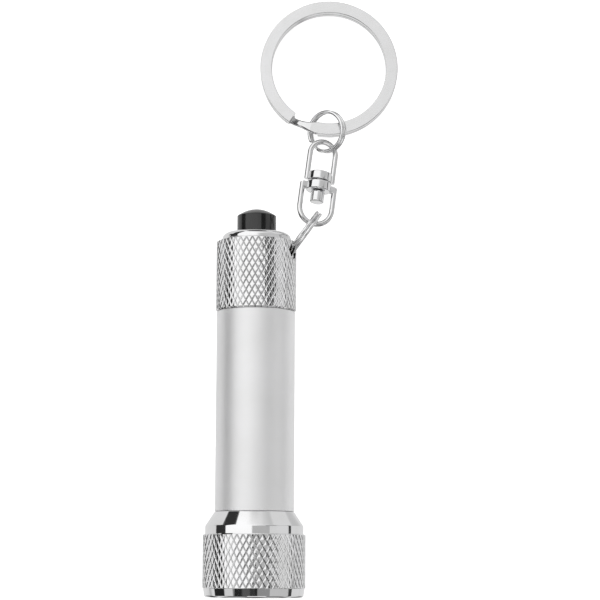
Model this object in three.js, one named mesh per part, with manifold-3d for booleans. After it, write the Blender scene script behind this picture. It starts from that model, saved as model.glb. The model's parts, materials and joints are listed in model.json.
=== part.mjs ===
// A small key-chain torch, lying on its side on a flat surface, with its swivel and rings beside it.
// Millimetres, +Z up. The torch's axis runs along +Y, from the lens to the push button.
import * as THREE from 'three';
import { mergeVertices } from 'three/addons/utils/BufferGeometryUtils.js';
import Module from 'manifold-3d';

const wasm = await Module();
wasm.setup();

// ---------------------------------------------------------------- driving dimensions
// Torch radii, and stations along its axis counted from the front rim.
const HEAD = {
  rimRadius: 8.55, frontRadius: 8.8, knurlRadius: 9.15, bandRadius: 8.75, coneRadius: 7.1,
  cornerEnd: 0.25, knurlStart: 1.7, knurlEnd: 10.95, bandEnd: 12.55, end: 15.05,
  windowRadius: 7.3, chamberRadius: 7.9, lipEnd: 1.0, threadStart: 11.0, threadRadius: 6.85,
};
const TUBE = {
  radius: 7.05, start: 15.15, end: 50.9, frontSpigotRadius: 6.75, frontSpigotStart: 11.1,
  rearSpigotRadius: 6.35, rearSpigotEnd: 55.2, boreRadius: 6.25, rearBoreRadius: 5.75, boreStep: 42.6,
};
const CAP = {
  knurlRadius: 7.25, start: 51.0, knurlEnd: 63.6, chamferEnd: 64.2, top: 65.3, shoulderRadius: 6.22,
  topRadius: 5.0, threadRadius: 6.45, threadEnd: 56.3, chamberRadius: 6.65, chamberEnd: 63.9,
  buttonHoleRadius: 3.75, ringHoleStation: 61.75, ringHoleAngle: 21.5, ringHoleRadius: 1.42,
};
const BUTTON = {
  radius: 3.58, sideEnd: 68.55, apex: 69.75, flangeRadius: 4.5, flangeStart: 62.7, flangeEnd: 63.82,
  recessRadius: 2.7, recessEnd: 65.6,
};
const LENS = { radius: 7.8, start: 1.05, end: 2.3 };
const SEAL = { innerRadius: 7.0, outerRadius: 7.78, start: 2.35, end: 2.9 };
const REFLECTOR = { radius: 7.8, start: 2.95, end: 9.0, cupRadius: 2.72, cupThroat: 2.58, cupDepth: 3.2 };
const LED = {
  count: 5, circleRadius: 4.9, bodyRadius: 2.45, flangeRadius: 2.72, tip: 3.4, flangeStart: 9.05, back: 9.8,
  leadSpacing: 2.54, leadWidth: 0.5, leadEnd: 11.3,
};
const BOARD = { radius: 7.7, start: 9.85, end: 10.8, holeWidth: 0.7 };
const RESISTOR = { station: 11.15, width: 1.25, length: 2.0, height: 0.55, offset: 4.35 };
const CELL = {
  count: 4, radius: 5.8, height: 5.4, pitch: 5.45, capRadius: 5.1, capHeight: 0.5, start: 14.75,
};
const SLEEVE = { innerRadius: 5.88, outerRadius: 6.18, start: 14.4, end: 36.9 };
const SWITCH = {
  start: 43.95, bodyRadius: 5.65, bodyEnd: 55.25, flangeRadius: 6.3, flangeEnd: 56.2, noseRadius: 4.6,
  noseEnd: 58.5, boreRadius: 1.35, boreStart: 54.0,
};
const CONTACT_PLATE = { radius: 4.6, start: 43.45, end: 43.85 };
const PLUNGER = { radius: 1.2, start: 55.5, end: 65.5 };
const RETAINER = { innerRadius: 4.75, outerRadius: 6.5, start: 56.35, end: 57.5 };
const ORING = { section: 0.36, headStation: 12.85, headRadius: 6.6, tailStation: 53.4, tailRadius: 6.2 };
const GROOVE = { width: 0.9, depth: 0.4 };

// Springs: mean radii at both ends, stations of both ends, wire and turns.
const FRONT_SPRING = { startRadius: 3.2, endRadius: 1.7, start: 11.05, end: 14.5, wire: 0.4, turns: 3 };
const REAR_SPRING = { startRadius: 3.9, endRadius: 3.9, start: 36.85, end: 43.15, wire: 0.5, turns: 4 };
const BUTTON_SPRING = { startRadius: 1.95, endRadius: 1.95, start: 58.75, end: 65.3, wire: 0.36, turns: 6 };

// Links, from the cap outwards. Outer diameter, wire, and the spacing of the two turns.
const LOWER_RING = {
  diameter: 10, wire: 0.62, pitch: 0.66, bendStart: 285, bendEnd: 318, lowerEnd: 328, upperEnd: 275,
};
const SWIVEL = {
  wire: 0.9, drumLength: 1.6, drumRound: 0.28, gap: 0.3, webThickness: 1.0, webLength: 1.4,
  lowerWidth: 7.0, lowerLength: 8.55, lowerLegStart: 0.5, lowerDrumRadius: 2.18,
  upperWidth: 5.72, upperLength: 8.3, upperDrumRadius: 2.06,
  pinRadius: 0.8, pinHoleRadius: 0.9, pressHoleRadius: 0.85, rivetRadius: 1.27, rivetLength: 2.1,
};
const UPPER_RING = {
  diameter: 7.95, wire: 0.68, pitch: 0.76, bendStart: 215, bendEnd: 245, lowerEnd: 253, upperEnd: 207,
};
const KEY_RING = {
  diameter: 25.2, width: 2.15, thickness: 1.2, pitch: 1.26, bendStart: 238, bendEnd: 255, lowerEnd: 260.5,
  upperEnd: 234.5,
};

// Where each link lies. The lower ring is placed in the torch's frame, the others over the resting surface.
const LOWER_RING_PLACE = { x: 8.5, station: 65.2, heading: 35.6, lean: 5.2 };
const SWIVEL_PLACE = { x: 11.33, y: 75.3, z: 3.95, lean: 7.2, pitch: 9.8, roll: 15 };
const UPPER_RING_PLACE = { x: 12.7, y: 84.92, z: 2.9, tiltLeft: 34.5, tiltBack: -2.8 };
const KEY_RING_PLACE = { x: 13.09, y: 96.85, z: 1.97, tiltBack: 3.3 };

// Facets round an outer shell, a large and a small inner piece, and a wire.
const ROUND = 40;
const INNER_ROUND = 28;
const SMALL_ROUND = 20;
const WIRE_SIDES = 6;

const degrees = THREE.MathUtils.degToRad;

// ---------------------------------------------------------------- geometry helpers
// Merges shared corners, drops triangles of no area and turns the surface to face out.
function closed(geometry) {
  let merged = geometry.clone();
  merged.deleteAttribute('normal');
  merged.deleteAttribute('uv');
  merged = mergeVertices(merged, 1e-5);
  const index = merged.index.array;
  const position = merged.getAttribute('position');
  const corner = [new THREE.Vector3(), new THREE.Vector3(), new THREE.Vector3()];
  const kept = [];
  let volume = 0;
  for (let i = 0; i < index.length; i += 3) {
    const [a, b, c] = [index[i], index[i + 1], index[i + 2]];
    if (a === b || b === c || c === a) continue;
    kept.push([a, b, c]);
    [a, b, c].forEach((vertex, n) => corner[n].fromBufferAttribute(position, vertex));
    volume += corner[0].dot(corner[1].cross(corner[2]));
  }
  merged.setIndex(kept.flatMap(([a, b, c]) => (volume < 0 ? [a, c, b] : [a, b, c])));
  return merged;
}

function toManifold(geometry) {
  const surface = closed(geometry);
  return new wasm.Manifold(new wasm.Mesh({
    numProp: 3,
    vertProperties: new Float32Array(surface.getAttribute('position').array),
    triVerts: new Uint32Array(surface.index.array),
  }));
}

function fromManifold(manifold) {
  const mesh = manifold.getMesh();
  const geometry = new THREE.BufferGeometry();
  geometry.setAttribute('position', new THREE.BufferAttribute(new Float32Array(mesh.vertProperties), 3));
  geometry.setIndex(Array.from(mesh.triVerts));
  return geometry;
}

function cut(base, ...tools) {
  return fromManifold(tools.reduce((solid, tool) => solid.subtract(toManifold(tool)), toManifold(base)));
}

function join(base, ...others) {
  return fromManifold(others.reduce((solid, other) => solid.add(toManifold(other)), toManifold(base)));
}

// A turned piece about the Y axis, from an outline of [radius, station] corners.
function turned(outline, sides = ROUND) {
  const points = outline.map(([radius, station]) => new THREE.Vector2(radius, station));
  const first = points[0];
  const last = points[points.length - 1];
  if (first.x > 0 || last.x > 0) points.push(first.clone());
  return closed(new THREE.LatheGeometry(points, sides));
}

function innerRing({ innerRadius, outerRadius, start, end }) {
  const outline = [[innerRadius, start], [outerRadius, start], [outerRadius, end], [innerRadius, end]];
  return turned(outline, INNER_ROUND);
}

function turnedDisc(radius, start, end, sides = ROUND) {
  return turned([[0, start], [radius, start], [radius, end], [0, end]], sides);
}

// Corners of a quarter ellipse, in [radius, station] form, from one corner to the other.
function quarter(centre, radii, from, to, steps) {
  return Array.from({ length: steps + 1 }, (_, i) => {
    const angle = degrees(from + (to - from) * i / steps);
    return [centre[0] + radii[0] * Math.cos(angle), centre[1] + radii[1] * Math.sin(angle)];
  });
}

function roundSection(diameter, sides = WIRE_SIDES) {
  const corners = Array.from({ length: sides }, (_, i) => {
    const angle = 2 * Math.PI * (i + 0.5) / sides;
    return new THREE.Vector2(Math.cos(angle), Math.sin(angle)).multiplyScalar(diameter / 2);
  });
  return new THREE.Shape(corners);
}

function flatSection(width, height) {
  const [x, y] = [width / 2, height / 2];
  return new THREE.Shape([[-x, -y], [x, -y], [x, y], [-x, y]].map(([a, b]) => new THREE.Vector2(a, b)));
}

function swept(section, path, steps) {
  return closed(new THREE.ExtrudeGeometry(section, { steps, extrudePath: path, bevelEnabled: false }));
}

// ---------------------------------------------------------------- wire paths
// A compression spring about the Y axis.
class SpringPath extends THREE.Curve {
  constructor(spring) {
    super();
    this.spring = spring;
  }

  getPoint(t, target = new THREE.Vector3()) {
    const { startRadius, endRadius, start, end, turns } = this.spring;
    const radius = THREE.MathUtils.lerp(startRadius, endRadius, t);
    const angle = 2 * Math.PI * turns * t;
    const station = THREE.MathUtils.lerp(start, end, t);
    return target.set(radius * Math.cos(angle), station, radius * Math.sin(angle));
  }
}

// Two flat turns about the Z axis, joined by one short bend from the lower turn up to the upper one.
class SplitRingPath extends THREE.Curve {
  constructor({ radius, pitch, bendStart, bendEnd, lowerEnd, upperEnd }) {
    super();
    this.arcLengthDivisions = 800;
    this.radius = radius;
    this.pitch = pitch;
    this.bend = [bendStart + 360, bendEnd + 360];
    this.from = lowerEnd;
    this.to = upperEnd + 720;
  }

  angle(t) {
    return THREE.MathUtils.lerp(this.from, this.to, t);
  }

  getPoint(t, target = new THREE.Vector3()) {
    const angle = this.angle(t);
    const rise = THREE.MathUtils.smoothstep(angle, ...this.bend);
    const [x, y] = [Math.cos(degrees(angle)), Math.sin(degrees(angle))];
    return target.set(this.radius * x, this.radius * y, this.pitch * (rise - 0.5));
  }

  // Keeps the section square to the ring's axis all the way along.
  computeFrenetFrames(segments) {
    const frames = { tangents: [], normals: [], binormals: [] };
    for (let i = 0; i <= segments; i++) {
      const t = this.getUtoTmapping(i / segments);
      const angle = degrees(this.angle(t));
      const tangent = this.getTangent(t);
      const normal = new THREE.Vector3(Math.cos(angle), Math.sin(angle), 0);
      frames.tangents.push(tangent);
      frames.normals.push(normal);
      frames.binormals.push(new THREE.Vector3().crossVectors(tangent, normal).normalize());
    }
    return frames;
  }
}

// Two straight legs joined by a half circle, in the XY plane, with the half circle towards `side` times +Y.
class LoopPath extends THREE.Curve {
  constructor(halfWidth, legStart, legEnd, side) {
    super();
    Object.assign(this, { halfWidth, legStart, legEnd, side });
    this.leg = legEnd - legStart;
    this.arc = Math.PI * halfWidth;
  }

  getPoint(t, target = new THREE.Vector3()) {
    const travel = t * (2 * this.leg + this.arc);
    if (travel < this.leg) return target.set(-this.halfWidth, this.side * (this.legStart + travel), 0);
    if (travel > this.leg + this.arc) {
      const back = travel - this.leg - this.arc;
      return target.set(this.halfWidth, this.side * (this.legEnd - back), 0);
    }
    const angle = Math.PI - (travel - this.leg) / this.halfWidth;
    const [x, y] = [Math.cos(angle), Math.sin(angle)];
    return target.set(this.halfWidth * x, this.side * (this.legEnd + this.halfWidth * y), 0);
  }
}

function splitRing(ring, section, steps) {
  const radius = ring.diameter / 2 - (ring.width ?? ring.wire) / 2;
  return swept(section, new SplitRingPath({ ...ring, radius }), steps);
}

function spring(shape, stepsPerTurn = 12) {
  return swept(roundSection(shape.wire, 5), new SpringPath(shape), shape.turns * stepsPerTurn);
}

function oRing(meanRadius, station) {
  const radii = [ORING.section / 2, ORING.section / 2];
  return turned(quarter([meanRadius, station], radii, 0, 300, 5), INNER_ROUND);
}

// ---------------------------------------------------------------- materials
const metal = (color, roughness) => new THREE.MeshStandardMaterial({ color, roughness, metalness: 1 });
const plastic = (color, roughness) => new THREE.MeshStandardMaterial({ color, roughness, metalness: 0 });
const chrome = () => metal(0xd8dade, 0.08);
const satinAluminium = () => metal(0xc9cbcd, 0.38);
const springSteel = () => metal(0xa9abb0, 0.3);
const brass = () => metal(0xc9a24a, 0.3);
const blackRubber = () => plastic(0x101010, 0.8);

// ---------------------------------------------------------------- torch: head
function headShell() {
  const { rimRadius, frontRadius, knurlRadius, bandRadius, coneRadius } = HEAD;
  return turned([
    [HEAD.windowRadius, 0], [rimRadius, 0], [frontRadius, HEAD.cornerEnd],
    [knurlRadius - 0.15, HEAD.knurlStart - 0.1], [knurlRadius, HEAD.knurlStart],
    [knurlRadius, HEAD.knurlEnd], [bandRadius, HEAD.knurlEnd + 0.2],
    [bandRadius, HEAD.bandEnd - 0.15], [bandRadius - 0.15, HEAD.bandEnd],
    [coneRadius, HEAD.end], [HEAD.threadRadius, HEAD.end],
    [HEAD.threadRadius, HEAD.threadStart], [HEAD.chamberRadius, HEAD.threadStart],
    [HEAD.chamberRadius, HEAD.lipEnd], [HEAD.windowRadius, HEAD.lipEnd],
  ]);
}

function onLedCircle(number) {
  const angle = 2 * Math.PI * number / LED.count + Math.PI / 2;
  return new THREE.Vector3(Math.cos(angle), 0, Math.sin(angle)).multiplyScalar(LED.circleRadius);
}

function reflector() {
  const { start, end, cupRadius, cupThroat, cupDepth } = REFLECTOR;
  const cups = Array.from({ length: LED.count }, (_, i) => {
    const cup = turned([
      [0, start - 1], [cupRadius, start - 1], [cupRadius, start], [cupThroat, start + cupDepth],
      [cupThroat, end + 1], [0, end + 1],
    ], SMALL_ROUND);
    return cup.translate(...onLedCircle(i).toArray());
  });
  return cut(turnedDisc(REFLECTOR.radius, start, end, INNER_ROUND), ...cups);
}

// One lamp: a domed clear body on a flange, and two square leads at its back.
function ledLamp() {
  const domeStart = LED.tip + LED.bodyRadius;
  const dome = quarter([0, domeStart], [LED.bodyRadius, -LED.bodyRadius], 90, 0, 4);
  dome[0][0] = 0;
  const body = turned([
    ...dome, [LED.bodyRadius, LED.flangeStart], [LED.flangeRadius, LED.flangeStart],
    [LED.flangeRadius, LED.back], [0, LED.back],
  ], 12);
  const leads = [-1, 1].map((side) => {
    const lead = new THREE.BoxGeometry(LED.leadWidth, LED.leadEnd - LED.back + 0.2, LED.leadWidth);
    return lead.translate(side * LED.leadSpacing / 2, (LED.leadEnd + LED.back - 0.2) / 2, 0);
  });
  return join(body, ...leads);
}

function leadPlaces() {
  return Array.from({ length: LED.count }, (_, i) => {
    const centre = onLedCircle(i);
    const along = new THREE.Vector3(-centre.z, 0, centre.x).normalize().multiplyScalar(LED.leadSpacing / 2);
    return [centre.clone().sub(along), centre.clone().add(along)];
  }).flat();
}

// The lamp board: a disc drilled for every lead.
function ledBoard() {
  const outline = new THREE.Shape().absarc(0, 0, BOARD.radius, 0, 2 * Math.PI);
  for (const { x, z } of leadPlaces()) {
    outline.holes.push(new THREE.Path().absarc(x, z, BOARD.holeWidth / 2, 0, 2 * Math.PI, true));
  }
  const depth = BOARD.end - BOARD.start;
  const board = new THREE.ExtrudeGeometry(outline, { depth, bevelEnabled: false, curveSegments: 8 });
  return closed(board.rotateX(Math.PI / 2).translate(0, BOARD.end, 0));
}

function resistor() {
  const { width, length, height, station, offset } = RESISTOR;
  return new THREE.BoxGeometry(length, height, width).translate(0, station, -offset);
}

// ---------------------------------------------------------------- torch: tube and what it holds
function tube() {
  const groove = (radius, station) => [
    [radius, station - GROOVE.width / 2], [radius - GROOVE.depth, station - GROOVE.width / 2],
    [radius - GROOVE.depth, station + GROOVE.width / 2], [radius, station + GROOVE.width / 2],
  ];
  return turned([
    [TUBE.boreRadius, TUBE.frontSpigotStart], [TUBE.frontSpigotRadius, TUBE.frontSpigotStart],
    ...groove(TUBE.frontSpigotRadius, ORING.headStation),
    [TUBE.frontSpigotRadius, TUBE.start], [TUBE.radius, TUBE.start],
    [TUBE.radius, TUBE.end], [TUBE.rearSpigotRadius, TUBE.end],
    ...groove(TUBE.rearSpigotRadius, ORING.tailStation),
    [TUBE.rearSpigotRadius, TUBE.rearSpigotEnd], [TUBE.rearBoreRadius, TUBE.rearSpigotEnd],
    [TUBE.rearBoreRadius, TUBE.boreStep], [TUBE.boreRadius, TUBE.boreStep],
  ]);
}

// A button cell: a can with its smaller negative cap towards the lens.
function cell(number) {
  const start = CELL.start + number * CELL.pitch;
  return turned([
    [0, start], [CELL.capRadius, start], [CELL.capRadius, start + CELL.capHeight],
    [CELL.radius, start + CELL.capHeight + 0.1], [CELL.radius, start + CELL.height],
    [0, start + CELL.height],
  ], SMALL_ROUND);
}

// ---------------------------------------------------------------- torch: tail
function tailCap() {
  const shoulder = quarter(
    [CAP.topRadius, CAP.chamferEnd],
    [CAP.shoulderRadius - CAP.topRadius, CAP.top - CAP.chamferEnd],
    0, 90, 4,
  );
  const shell = turned([
    [CAP.threadRadius, CAP.start], [CAP.knurlRadius - 0.2, CAP.start], [CAP.knurlRadius, CAP.start + 0.2],
    [CAP.knurlRadius, CAP.knurlEnd - 0.15], [CAP.knurlRadius - 0.15, CAP.knurlEnd + 0.05], ...shoulder,
    [CAP.buttonHoleRadius, CAP.top], [CAP.buttonHoleRadius, CAP.chamberEnd],
    [CAP.chamberRadius, CAP.chamberEnd], [CAP.chamberRadius, CAP.threadEnd],
    [CAP.threadRadius, CAP.threadEnd],
  ]);
  const holes = [-1, 1].map((side) => {
    const drill = turnedDisc(CAP.ringHoleRadius, 4.5, 9, 16).rotateZ(-Math.PI / 2);
    return drill.rotateY(-side * degrees(CAP.ringHoleAngle)).translate(0, CAP.ringHoleStation, 0);
  });
  return cut(shell, ...holes);
}

function switchBody() {
  return turned([
    [0, SWITCH.start], [SWITCH.bodyRadius, SWITCH.start], [SWITCH.bodyRadius, SWITCH.bodyEnd],
    [SWITCH.flangeRadius, SWITCH.bodyEnd], [SWITCH.flangeRadius, SWITCH.flangeEnd],
    [SWITCH.noseRadius, SWITCH.flangeEnd], [SWITCH.noseRadius, SWITCH.noseEnd],
    [SWITCH.boreRadius, SWITCH.noseEnd], [SWITCH.boreRadius, SWITCH.boreStart], [0, SWITCH.boreStart],
  ], INNER_ROUND);
}

function pushButton() {
  const dome = [0.97, 0.85, 0.65, 0.35].map((part) => {
    const rise = (BUTTON.apex - BUTTON.sideEnd) * (1 - part * part);
    return [BUTTON.radius * part, BUTTON.sideEnd + rise];
  });
  return turned([
    [0, BUTTON.recessEnd], [BUTTON.recessRadius, BUTTON.recessEnd],
    [BUTTON.recessRadius, BUTTON.flangeStart], [BUTTON.flangeRadius, BUTTON.flangeStart],
    [BUTTON.flangeRadius, BUTTON.flangeEnd], [BUTTON.radius, BUTTON.flangeEnd],
    [BUTTON.radius, BUTTON.sideEnd - 0.1], ...dome, [0, BUTTON.apex],
  ]);
}

// ---------------------------------------------------------------- swivel
function drum(radius, start) {
  const { drumLength, drumRound } = SWIVEL;
  return turned([
    [0, start], [radius - drumRound, start], [radius, start + drumRound],
    [radius, start + drumLength - drumRound], [radius - drumRound, start + drumLength],
    [0, start + drumLength],
  ], SMALL_ROUND);
}

function loopWire(width, length, legStart, side) {
  const halfWidth = (width - SWIVEL.wire) / 2;
  const path = new LoopPath(halfWidth, legStart, length - width / 2, side);
  return swept(roundSection(SWIVEL.wire, 8), path, 26);
}

// The lower half: a loop whose legs are joined to its drum by two short webs.
function swivelLowerLoop() {
  const { lowerWidth, lowerLength, lowerLegStart, lowerDrumRadius, drumLength, pinHoleRadius } = SWIVEL;
  const { wire, gap, webThickness, webLength } = SWIVEL;
  const web = new THREE.BoxGeometry(lowerWidth - wire, webLength, webThickness);
  web.translate(0, webLength / 2 - gap / 2 - drumLength, 0);
  const loop = loopWire(lowerWidth, lowerLength, lowerLegStart, -1);
  const body = join(loop, web, drum(lowerDrumRadius, -gap / 2 - drumLength));
  return cut(body, turnedDisc(pinHoleRadius, -drumLength - 1, 1, 16));
}

// The upper half: a narrower loop whose legs run down the sides of its drum.
function swivelUpperLoop() {
  const { upperWidth, upperLength, upperDrumRadius, gap, drumLength, pressHoleRadius } = SWIVEL;
  const body = join(loopWire(upperWidth, upperLength, gap / 2, 1), drum(upperDrumRadius, gap / 2));
  return cut(body, turnedDisc(pressHoleRadius, -1, drumLength + 1, 16));
}

function swivelPin() {
  const { gap, drumLength, pinRadius, rivetRadius, rivetLength } = SWIVEL;
  const headEnd = -gap - drumLength;
  const round = 0.25;
  return turned([
    [0, headEnd - rivetLength], [rivetRadius - round, headEnd - rivetLength],
    [rivetRadius, headEnd - rivetLength + round], [rivetRadius, headEnd],
    [pinRadius, headEnd], [pinRadius, drumLength], [0, drumLength],
  ], 16);
}

// ---------------------------------------------------------------- assembly
function part(name, geometry, material) {
  const mesh = new THREE.Mesh(geometry, material);
  mesh.name = name;
  return mesh;
}

function ledLamps() {
  return Array.from({ length: LED.count }, (_, i) => {
    const lamp = part(`led_${i + 1}`, ledLamp(), plastic(0xf4f4e8, 0.1));
    const place = onLedCircle(i);
    lamp.position.copy(place);
    lamp.rotation.y = -Math.atan2(place.z, place.x) + Math.PI / 2;
    return lamp;
  });
}

function cells() {
  const can = metal(0xbfc1c4, 0.25);
  return Array.from({ length: CELL.count }, (_, i) => part(`cell_${i + 1}`, cell(i), can));
}

function lowerRing() {
  const { x, station, heading, lean } = LOWER_RING_PLACE;
  const ring = part('lower_split_ring', splitRing(LOWER_RING, roundSection(LOWER_RING.wire), 60), chrome());
  ring.rotation.y = degrees(90 + lean);
  const place = new THREE.Group();
  place.add(ring);
  place.position.set(x, station, 0);
  place.rotation.z = -degrees(heading);
  return place;
}

// The torch rests on the knurls of its head and its cap, so its axis leans by the difference of their radii.
function torch() {
  const group = new THREE.Group();
  const lean = Math.atan((HEAD.knurlRadius - CAP.knurlRadius) / (CAP.knurlEnd - HEAD.knurlEnd));
  group.rotation.x = -lean;
  group.position.z = HEAD.knurlRadius * Math.cos(lean) + HEAD.knurlEnd * Math.sin(lean);
  group.add(
    part('head_shell', headShell(), chrome()),
    part('lens', turnedDisc(LENS.radius, LENS.start, LENS.end, INNER_ROUND), plastic(0xf2f6f8, 0.05)),
    part('lens_seal', innerRing(SEAL), blackRubber()),
    part('reflector', reflector(), metal(0xe4e6ea, 0.06)),
    ...ledLamps(),
    part('led_board', ledBoard(), plastic(0x2f6b3a, 0.5)),
    part('resistor', resistor(), plastic(0x1b1b1e, 0.4)),
    part('front_contact_spring', spring(FRONT_SPRING), springSteel()),
    part('tube', tube(), satinAluminium()),
    part('head_o_ring', oRing(ORING.headRadius, ORING.headStation), blackRubber()),
    part('tail_o_ring', oRing(ORING.tailRadius, ORING.tailStation), blackRubber()),
    part('battery_sleeve', innerRing(SLEEVE), plastic(0xd9dde0, 0.4)),
    ...cells(),
    part('rear_contact_spring', spring(REAR_SPRING), springSteel()),
    part('switch_contact_plate', turnedDisc(CONTACT_PLATE.radius, CONTACT_PLATE.start, CONTACT_PLATE.end,
      SMALL_ROUND), brass()),
    part('switch_body', switchBody(), plastic(0x25262a, 0.5)),
    part('switch_retaining_ring', innerRing(RETAINER), brass()),
    part('switch_plunger', turnedDisc(PLUNGER.radius, PLUNGER.start, PLUNGER.end, 16),
      plastic(0xe8e6dd, 0.4)),
    part('button_spring', spring(BUTTON_SPRING), springSteel()),
    part('tail_cap', tailCap(), chrome()),
    part('push_button', pushButton(), plastic(0x1d1d1f, 0.3)),
    lowerRing(),
  );
  return group;
}

function swivel() {
  const group = new THREE.Group();
  group.position.set(SWIVEL_PLACE.x, SWIVEL_PLACE.y, SWIVEL_PLACE.z);
  const { pitch, roll, lean } = SWIVEL_PLACE;
  group.rotation.set(-degrees(pitch), degrees(roll), -degrees(lean), 'ZXY');
  group.add(
    part('swivel_lower_loop', swivelLowerLoop(), chrome()),
    part('swivel_upper_loop', swivelUpperLoop(), chrome()),
    part('swivel_pin', swivelPin(), chrome()),
  );
  return group;
}

function upperRing() {
  const { x, y, z, tiltLeft, tiltBack } = UPPER_RING_PLACE;
  const ring = part('upper_split_ring', splitRing(UPPER_RING, roundSection(UPPER_RING.wire), 56), chrome());
  ring.position.set(x, y, z);
  ring.rotation.set(-degrees(tiltBack), -degrees(tiltLeft), 0, 'YXZ');
  return ring;
}

function keyRing() {
  const section = flatSection(KEY_RING.width, KEY_RING.thickness);
  const ring = part('key_ring', splitRing(KEY_RING, section, 100), metal(0xc4c6c9, 0.22));
  ring.position.set(KEY_RING_PLACE.x, KEY_RING_PLACE.y, KEY_RING_PLACE.z);
  ring.rotation.x = -degrees(KEY_RING_PLACE.tiltBack);
  return ring;
}

// The origin is under the middle of the whole object's box, on the surface it lies on.
const flashlight = new THREE.Group();
flashlight.add(torch(), swivel(), upperRing(), keyRing());
const box = new THREE.Box3().setFromObject(flashlight, true);
const middle = box.getCenter(new THREE.Vector3());
flashlight.position.set(-middle.x, -middle.y, -box.min.z);
flashlight.updateMatrixWorld(true);

export default flashlight;
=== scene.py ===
"""A small key-chain torch lying on a pale surface: the looks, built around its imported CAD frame.

Lengths written here are millimetres and are turned into metres once, in the mesh helpers.
Places come from the frame: each piece is built in the local frame of its CAD node, joint or mount.
"""

import json
import math
import random

import bmesh
import bpy
from mathutils import Matrix, Vector


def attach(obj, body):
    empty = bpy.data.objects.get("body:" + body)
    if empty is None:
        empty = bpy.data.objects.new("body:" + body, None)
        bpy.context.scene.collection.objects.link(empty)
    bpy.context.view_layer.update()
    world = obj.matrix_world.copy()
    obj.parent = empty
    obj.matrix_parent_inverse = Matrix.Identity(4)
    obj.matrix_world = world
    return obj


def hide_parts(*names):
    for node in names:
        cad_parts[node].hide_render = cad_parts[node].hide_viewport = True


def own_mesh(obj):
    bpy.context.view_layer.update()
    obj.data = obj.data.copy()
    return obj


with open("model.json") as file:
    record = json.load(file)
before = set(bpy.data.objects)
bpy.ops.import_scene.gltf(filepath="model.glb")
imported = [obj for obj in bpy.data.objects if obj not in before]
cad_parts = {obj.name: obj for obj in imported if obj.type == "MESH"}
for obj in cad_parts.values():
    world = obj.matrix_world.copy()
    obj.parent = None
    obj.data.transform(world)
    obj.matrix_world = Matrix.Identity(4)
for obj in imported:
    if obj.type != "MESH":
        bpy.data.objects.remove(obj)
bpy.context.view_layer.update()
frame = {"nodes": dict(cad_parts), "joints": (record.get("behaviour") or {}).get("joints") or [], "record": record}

MM = 0.001
RECORD = frame["record"]
JOINTS = {joint["name"]: joint for joint in frame["joints"]}
MOUNTS = {mount["name"]: mount for mount in RECORD["mounts"]}
BODY_OF = {node: body for body, nodes in RECORD["behaviour"]["bodies"].items() for node in nodes}
SLOT_OF = {part["node"]: part["material_slot"] for part in RECORD["subparts"]}

# Stations are counted along the torch from its front rim.
HEAD = dict(
    rim=8.55, corner_end=0.25, front=8.8, flare=9.0, start_step=0.1, knurl_start=1.7, knurl_end=10.95,
    end_step=0.2, band=8.75, band_end=12.55, cone=7.1, end=15.05, window=7.3, lip_end=1.0, chamber=7.9,
    thread_start=11.0, thread=6.85,
)
# Knurls: radius of the crests, depth, diamonds round the axis, and rows.
HEAD_KNURL = dict(crest=9.15, depth=0.15, around=50, rows=9)
TUBE = dict(
    radius=7.05, start=15.15, end=50.9, front_spigot=6.75, front_start=11.1, bore=6.25, rear_bore=5.75,
    bore_step=42.6, rear_spigot=6.35, rear_end=55.2,
)
CAP = dict(
    start=51.0, start_inset=0.25, knurl_start=51.25, knurl_end=63.6, end_inset=0.3, end_step=0.12,
    neck_flare=0.03, neck_step=0.35, chamfer_end=64.2, top=65.3, shoulder=6.22, top_radius=5.0,
    button_hole=3.75, thread=6.45, thread_end=56.3, chamber=6.65, chamber_end=63.9,
    hole_station=61.75, hole_angle=21.5, hole_radius=1.42, drill_start=4.5, drill_end=9,
)
CAP_KNURL = dict(crest=7.25, depth=0.14, around=41, rows=13)
# Levels of a knurl diamond: how far from its middle to the groove, and its share of the whole depth.
DIAMOND = ((0.5, 0.12), (0.68, 0.2), (0.78, 0.36))
# How far the edge of a diamond may lie above or below its place, because the rolled knurl is uneven.
DIAMOND_LEAN = 0.022
BUTTON = dict(
    radius=3.53, side_end=68.55, apex=69.75, edge_step=0.08, dome_share=0.985, dome_angle=76,
    dome_step=6.9, dome_steps=12, flange=4.5, flange_start=62.7, flange_end=63.82, recess=2.7,
    recess_end=65.6,
)
SWIVEL_SIZE = dict(
    wire=1.0, drum_length=1.64, drum_round=0.26, gap=0.22,
    web_thickness=1.0, web_length=1.4, web_round=0.3,
    lower_width=7.14, lower_length=8.6, lower_leg_start=0.5, lower_drum=2.3,
    upper_width=5.86, upper_length=8.35, upper_drum=2.14,
    pin=0.8, pin_hole=0.9, press_hole=0.85, rivet=1.27, rivet_length=2.1, rivet_face=0.2,
)
LENS = dict(radius=7.8, start=1.05, end=2.3)
SEAL = dict(inner=7.0, outer=7.78, start=2.35, end=2.9)
REFLECTOR = dict(radius=7.8, start=2.95, end=9.0, cup=2.72, throat=2.58, cup_depth=5.4)
LED = dict(
    count=5, circle=4.9, body=2.45, flange=2.72, tip=3.4, flange_start=9.05, back=9.8,
    lead_spacing=2.54, lead_width=0.5, lead_end=11.3, lead_gap=0.01,
    cup_start=6.6, cup_end=7.6, cup_mouth=1.0, cup_radius=1.1, cup_floor=0.45,
    post=0.5, post_length=0.8,
    die=7.3, die_gap=0.15, die_front=0.42, die_back=0.46, die_edge=0.1, die_crown=0.12,
)
BOARD = dict(radius=7.7, start=9.85, end=10.8, hole=0.35)
# A cone of solder: how far out from the edge of its hole, and how high over the board.
SOLDER = ((0, 0), (0.45, 0), (0.15, 0.1), (0, 0.35))
RESISTOR = dict(
    station=11.15, width=1.25, length=2.0, height=0.55, offset=4.35, cap=0.35, core_height=0.9,
    core_width=0.95,
)
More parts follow.
